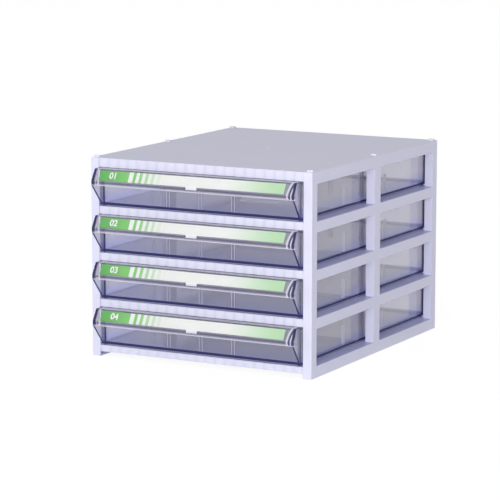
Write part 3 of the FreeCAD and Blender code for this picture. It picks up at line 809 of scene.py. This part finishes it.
@dataclass
class Drawer:
    """One clear drawer with its label, the plain number printed on it and its rear guide ribs."""

    number: int
    digit_size: float = 0.0098
    digit_across: float = -0.0975
    digit_depth: float = 0.00008
    stroke_growth: float = 0.0003
    tub_half_width: float = 0.1210
    guide_width: float = 0.0024
    guide_depth: float = 0.0024
    guide_from_end: float = 0.0003
    guide_foot: float = 0.0018
    guide_top: float = 0.0388
    guide_edge: float = 0.0004
    same_height: float = 1e-5

    @property
    def body(self) -> str:
        """Name of the moving body that the drawer belongs to."""
        return f"drawer_{self.number}_body"

    def slope_frame(self) -> tuple[Vector, Vector]:
        """Middle of the cover's outer face at the drawer's centre, and the way up the slope.

        Returns:
            The point and the unit vector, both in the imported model's frame.
        """
        cover = f"label_cover_{self.number}"
        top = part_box(cover)[1].z
        points = [vertex.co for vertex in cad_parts[cover].data.vertices]
        front = min(points, key=lambda p: (p.y, p.z))
        back = min((p for p in points if abs(p.z - top) < self.same_height), key=lambda p: p.y)
        upward = Vector((0.0, back.y - front.y, back.z - front.z)).normalized()
        middle = Vector((0.0, (back.y + front.y) / 2, (back.z + front.z) / 2))
        return middle, upward

    def build_digit(self, ink: bpy.types.Material) -> bpy.types.Object:
        """Plain number of the drawer, printed on the label's green block.

        Args:
            ink: Material of the number.

        Returns:
            The piece, riding on the drawer.
        """
        middle, upward = self.slope_frame()
        outward = Vector((1.0, 0.0, 0.0)).cross(upward)
        deselect_all()
        bpy.ops.object.text_add(location=(0.0, 0.0, 0.0))
        piece = bpy.context.object
        piece.data.body = f"{self.number:02d}"
        piece.data.align_x = "CENTER"
        piece.data.align_y = "CENTER"
        piece.data.size = self.digit_size
        piece.data.extrude = self.digit_depth / 2
        piece.data.offset = self.stroke_growth
        bpy.ops.object.convert(target="MESH")
        piece = bpy.context.object
        piece.name = f"drawer_number_{self.number}"
        turn = Matrix((Vector((1.0, 0.0, 0.0)), upward, outward)).transposed().to_4x4()
        lift = Vector((self.digit_across, 0.0, 0.0)) + middle + outward * (self.digit_depth / 2)
        piece.matrix_world = Matrix.Translation(lift) @ turn
        settle(piece)
        piece.data.materials.clear()
        piece.data.materials.append(ink)
        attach(piece, self.body)
        return piece

    def build_guides(self, clear: bpy.types.Material) -> list[bpy.types.Object]:
        """Upright guide ribs at the tub's rear corners, flush with its rim.

        Args:
            clear: Material of the drawer.

        Returns:
            The right and the left rib, riding on the drawer.
        """
        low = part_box(f"drawer_{self.number}")[0]
        tall = self.guide_top - self.guide_foot
        made = []
        for side, name in ((1.0, "right"), (-1.0, "left")):
            middle = (
                side * (self.tub_half_width + self.guide_width / 2),
                TUB_END - self.guide_from_end - self.guide_depth / 2,
                low.z + self.guide_foot + tall / 2,
            )
            deselect_all()
            bpy.ops.mesh.primitive_cube_add(size=1.0, location=middle)
            piece = bpy.context.object
            piece.name = f"rear_guide_{name}_{self.number}"
            piece.scale = (self.guide_width, self.guide_depth, tall)
            settle(piece)
            bpy.ops.object.mode_set(mode="EDIT")
            bpy.ops.mesh.select_all(action="SELECT")
            bpy.ops.mesh.bevel(offset=self.guide_edge, segments=2, affect="EDGES")
            bpy.ops.object.mode_set(mode="OBJECT")
            piece.data.materials.clear()
            piece.data.materials.append(clear)
            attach(piece, self.body)
            made.append(piece)
        return made

    def build(self, palette: dict[Finish, bpy.types.Material], ink: bpy.types.Material) -> list[str]:
        """Dress the drawer's nodes, print its number and add its rear guide ribs.

        Args:
            palette: Materials by finish.
            ink: Material of the number.

        Returns:
            Names of the pieces that were dressed or made.
        """
        nodes = {"drawer": Finish.CLEAR, "label_card": Finish.CARD, "label_cover": Finish.COVER}
        for node, finish in nodes.items():
            dress(f"{node}_{self.number}", palette[finish])
        pieces = [self.build_digit(ink), *self.build_guides(palette[Finish.CLEAR])]
        return [f"{node}_{self.number}" for node in nodes] + [piece.name for piece in pieces]


# Studio


@dataclass
class PhotoCamera:
    """Camera at the photograph's viewing angle."""

    azimuth: float = 28.16
    elevation: float = 9.46
    roll: float = 0.03
    lens: float = 178.88
    sensor: float = 36.0
    distance: float = 2.8003
    shift_right: float = 0.02111
    shift_up: float = 0.00537
    clip: Span = (0.05, 60.0)
    target: tuple[float, float, float] = (0.0, 0.0091, 0.110)

    def build(self) -> bpy.types.Object:
        """Place the camera and make it the scene's.

        Returns:
            The camera.
        """
        turn, rise = math.radians(self.azimuth), math.radians(self.elevation)
        level = Vector((math.sin(turn), -math.cos(turn), 0.0)) * math.cos(rise)
        back = level + Vector((0.0, 0.0, math.sin(rise)))
        right = Vector((math.cos(turn), math.sin(turn), 0.0))
        up = back.cross(right)
        aim = Vector(self.target) - right * self.shift_right - up * self.shift_up
        data = bpy.data.cameras.new("photo_camera")
        data.lens = self.lens
        data.sensor_width = self.sensor
        data.clip_start, data.clip_end = self.clip
        camera = bpy.data.objects.new("photo_camera", data)
        bpy.context.scene.collection.objects.link(camera)
        look = Matrix((right, up, back)).transposed().to_4x4()
        roll = Matrix.Rotation(math.radians(self.roll), 4, "Z")
        camera.matrix_world = Matrix.Translation(aim + back * self.distance) @ look @ roll
        bpy.context.scene.camera = camera
        return camera


@dataclass
class Lamp:
    """Soft rectangular studio lamp, aimed at the box."""

    name: str
    place: tuple[float, float, float]
    size: tuple[float, float]
    power: float
    colour: Colour = (1.0, 1.0, 1.0)
    aim: tuple[float, float, float] = (0.0, 0.0, 0.11)

    def build(self) -> bpy.types.Object:
        """Hang the lamp.

        Returns:
            The lamp.
        """
        data = bpy.data.lights.new(self.name, "AREA")
        data.shape = "RECTANGLE"
        data.size, data.size_y = self.size
        data.energy = self.power
        data.color = self.colour
        lamp = bpy.data.objects.new(self.name, data)
        bpy.context.scene.collection.objects.link(lamp)
        turn = (Vector(self.place) - Vector(self.aim)).to_track_quat("Z", "Y")
        lamp.matrix_world = Matrix.Translation(self.place) @ turn.to_matrix().to_4x4()
        return lamp


@dataclass
class Studio:
    """Pale floor, white surroundings and soft lamps."""

    floor_size: float = 14.0
    floor_drop: float = 0.0002
    floor_colour: Colour = (0.86, 0.86, 0.86)
    ambient: float = 0.60
    lamps: list[Lamp] = field(
        default_factory=lambda: [
            Lamp("key_lamp", (1.05, -2.4, 0.55), (1.5, 1.1), 30.5, (1.0, 0.99, 0.95)),
            Lamp("low_lamp", (0.75, -2.4, 0.14), (1.6, 0.24), 6.5, (1.0, 0.99, 0.97)),
            Lamp("fill_lamp", (-2.2, -1.5, 0.9), (1.2, 1.2), 8.0),
        ]
    )

    def build_floor(self) -> bpy.types.Object:
        """Wide flat floor just under the box, which fills the camera's view.

        Returns:
            The floor.
        """
        deselect_all()
        bpy.ops.mesh.primitive_plane_add(size=self.floor_size, location=(0.0, 0.0, -self.floor_drop))
        floor = bpy.context.object
        floor.name = "studio_floor"
        settle(floor)
        floor.data.materials.append(StudioSurface("studio_white", self.floor_colour).make())
        return floor

    def build_world(self) -> None:
        """Even soft light all round, brighter where it is seen than where it lights the box."""
        world = bpy.data.worlds.new("studio_world")
        bpy.context.scene.world = world
        recipe = Recipe(world, "ShaderNodeOutputWorld")
        strength = self.ambient + recipe.rays(*SEEING_RAYS) * (1.0 - self.ambient)
        recipe.finish(recipe.add("ShaderNodeBackground", {}, {"Strength": strength}).outputs[0])

    def build(self) -> None:
        """Set the studio up."""
        self.build_world()
        self.build_floor()
        for lamp in self.lamps:
            lamp.build()
        bpy.context.scene.view_settings.view_transform = "Standard"


def main() -> None:
    """Build the box's looks in order and report each piece."""
    logging.basicConfig(level=logging.INFO, format="%(name)s: %(message)s")
    palette = {finish: recipe.make() for finish, recipe in FINISHES.items()}
    ink = PrintedInk("number_ink", (0.95, 0.96, 0.95)).make()
    PhotoCamera().build()
    Studio().build()
    for piece in Cabinet().build(palette):
        log.info("dressed %s", piece)
    for number in range(1, TIERS + 1):
        for piece in Drawer(number).build(palette, ink):
            log.info("finished %s", piece)


if __name__ == "__main__":
    main()
